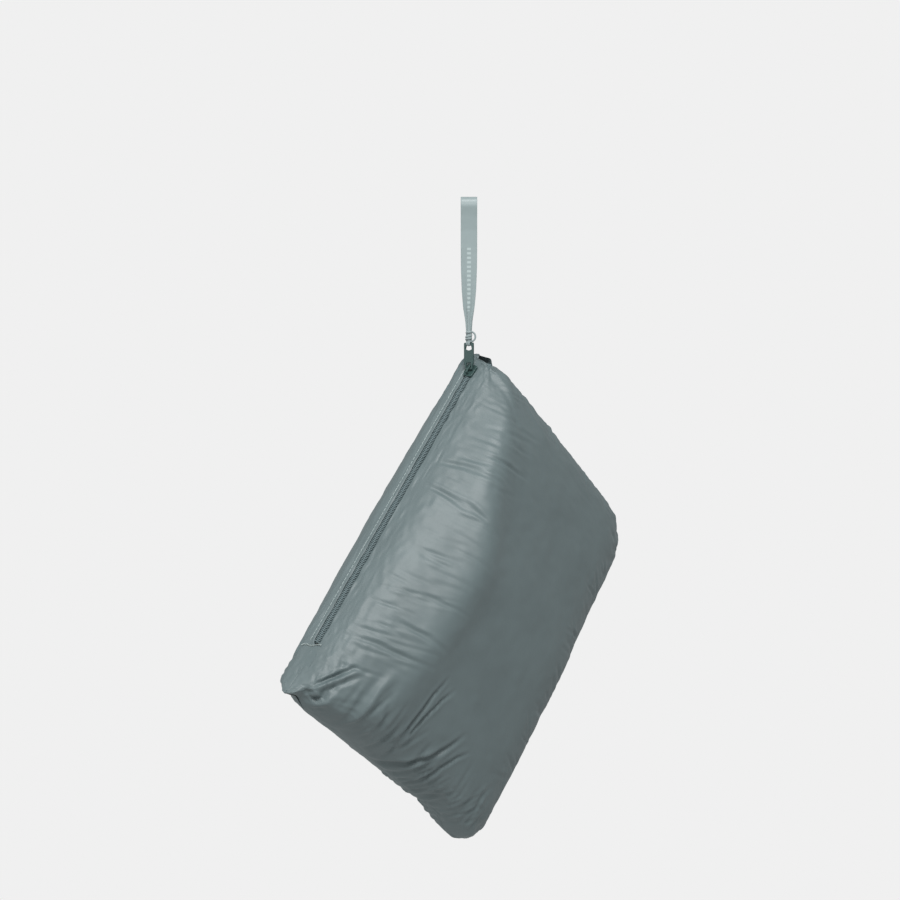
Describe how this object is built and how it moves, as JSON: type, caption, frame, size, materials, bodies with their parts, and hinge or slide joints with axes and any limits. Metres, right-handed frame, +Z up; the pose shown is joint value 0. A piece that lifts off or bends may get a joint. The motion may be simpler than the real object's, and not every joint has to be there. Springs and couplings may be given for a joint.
{
  "type": "camp quilt",
  "caption": "Soft camp quilt folded into its own zipped fabric pouch, carried by a ribbon loop on the zip puller.",
  "frame": {"origin": "inside the top bend of the ribbon loop, where a hook or a finger carries the packed quilt", "axes": "+Z straight up along the hanging ribbon; -Y faces the viewer, with the zip edge to the viewer's left"},
  "size_m": [0.2368, 0.2137, 0.4308],
  "materials": {
    "shell_fabric": "thin glossy woven nylon",
    "zip_tape": "matt woven polyester tape",
    "coil_nylon": "moulded nylon coil",
    "painted_slider": "satin paint on die-cast zinc",
    "ribbon_satin": "satin ribbon",
    "pale_thread": "polyester sewing thread",
    "shell_thread": "polyester sewing thread",
    "quilt_fill": "synthetic batting",
    "quilt_fabric": "thin glossy woven nylon"
  },
  "bodies": {
    "ribbon": {"hang_ribbon": "ribbon_satin"},
    "puller": {"zip_puller": "painted_slider"},
    "slider": {"slider_body": "painted_slider", "slider_crown": "painted_slider"},
    "pouch": {"front_panel": "shell_fabric", "back_panel": "shell_fabric", "top_end_facing": "shell_fabric", "bottom_end_facing": "shell_fabric", "front_zip_tape": "zip_tape", "back_zip_tape": "zip_tape", "front_coil": "coil_nylon", "back_coil": "coil_nylon", "front_top_stop": "coil_nylon", "back_top_stop": "coil_nylon", "back_topstitch": "pale_thread", "bottom_bartack": "pale_thread", "front_tape_stitch": "shell_thread", "quilt_fill": "quilt_fill", "quilt_face_fabric": "quilt_fabric", "quilt_lining": "quilt_fabric", "quilt_binding_start": "quilt_fabric", "quilt_binding_end": "quilt_fabric"}
  },
  "joints": [
    {"name": "ribbon_swing", "type": "hinge", "parent": "ribbon", "child": "puller", "pos_m": [0, 0, -0.0987], "axis": [0.8523, -0.523, 0], "range_deg": [-40, 14]},
    {"name": "puller_swing", "type": "hinge", "parent": "puller", "child": "slider", "pos_m": [0, 0, -0.1156], "axis": [0.8523, -0.523, 0], "range_deg": [-90, 10]},
    {"name": "zip_travel", "type": "slide", "parent": "slider", "child": "pouch", "axis": [0.4472, 0.4069, 0.7965], "range_m": [0, 0.205], "deforming": ["front_coil", "back_coil"]}
  ]
}
